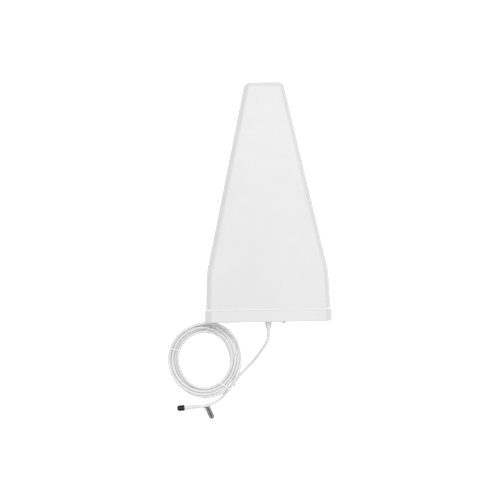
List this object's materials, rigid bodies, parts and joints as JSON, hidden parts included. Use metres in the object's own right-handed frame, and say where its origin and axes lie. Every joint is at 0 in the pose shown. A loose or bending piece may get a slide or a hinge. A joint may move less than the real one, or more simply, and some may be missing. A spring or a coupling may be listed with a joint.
{
  "type": "yagi antenna",
  "caption": "Enclosed yagi (log-periodic) antenna: tapered white radome with a base cap, and a coaxial lead in a tied coil that ends in a capped coaxial plug.",
  "frame": {"origin": "under the middle of the antenna's box, on the plane of its flat back; the cord's pieces don't count", "axes": "+Y from the base to the tip, +Z out of the broad front face, +X across"},
  "size_m": [0.279, 0.5635, 0.064],
  "materials": {
    "radome": "smooth moulded white, slight sheen",
    "cap": "smooth moulded white",
    "seal_rubber": "matt black rubber",
    "steel": "stainless fastener",
    "brass": "turned brass",
    "vent": "pale grey moulded plastic",
    "membrane": "white breathable film",
    "element_metal": "stamped sheet",
    "nylon": "natural moulded plastic",
    "foam": "closed-cell foam",
    "braid": "tinned copper",
    "gland_plastic": "white moulded plastic",
    "sleeve": "white flexible sleeve",
    "cable_jacket": "smooth white cable jacket",
    "tie": "thin white tie",
    "tag": null,
    "plug_metal": "plated",
    "dielectric": "white insulator",
    "gold": "gold plated",
    "cap_rubber": "glossy black rubber"
  },
  "bodies": {
    "antenna": {"radome_shell": "radome", "base_cap": "cap", "base_gasket": "seal_rubber", "gland_washer": "seal_rubber", "gland_seal": "seal_rubber", "coupling_gasket": "seal_rubber", "base_screws": "steel", "carrier_screws": "steel", "boom_screws": "steel", "boom_nuts": "steel", "snap_ring": "steel", "bracket_inserts": "brass", "feed_pin": "brass", "vent_plug": "vent", "vent_membrane": "membrane", "upper_comb": "element_metal", "lower_comb": "element_metal", "shorting_block": "element_metal", "boom_spacers": "nylon", "boom_carrier": "nylon", "tip_support": "foam", "braid_strap": "braid", "crimp_ferrule": "braid", "gland_body": "gland_plastic", "gland_dome_nut": "gland_plastic", "gland_locknut": "gland_plastic", "cable_sleeve": "sleeve", "connector_boot": "sleeve", "cable_lead": "cable_jacket", "cable_coil": "cable_jacket", "cable_tail": "cable_jacket", "coax_inner": "cable_jacket", "coil_tie_left": "tie", "coil_tie_right": "tie", "cable_tag": "tag", "connector_body": "plug_metal", "connector_dielectric": "dielectric", "centre_pin": "gold"},
    "coupling_nut": {"coupling_nut": "plug_metal"},
    "dust_cap": {"dust_cap": "cap_rubber"}
  },
  "joints": [
    {"name": "nut_spin", "type": "hinge", "parent": "antenna", "child": "coupling_nut", "pos_m": [-0.15027, -0.33876, 0.00505], "axis": [-0.9976, -0.0698, 0], "continuous": true},
    {"name": "cap_pull", "type": "slide", "parent": "coupling_nut", "child": "dust_cap", "axis": [-0.9976, -0.0698, 0], "range_m": [0, 0.02]}
  ]
}
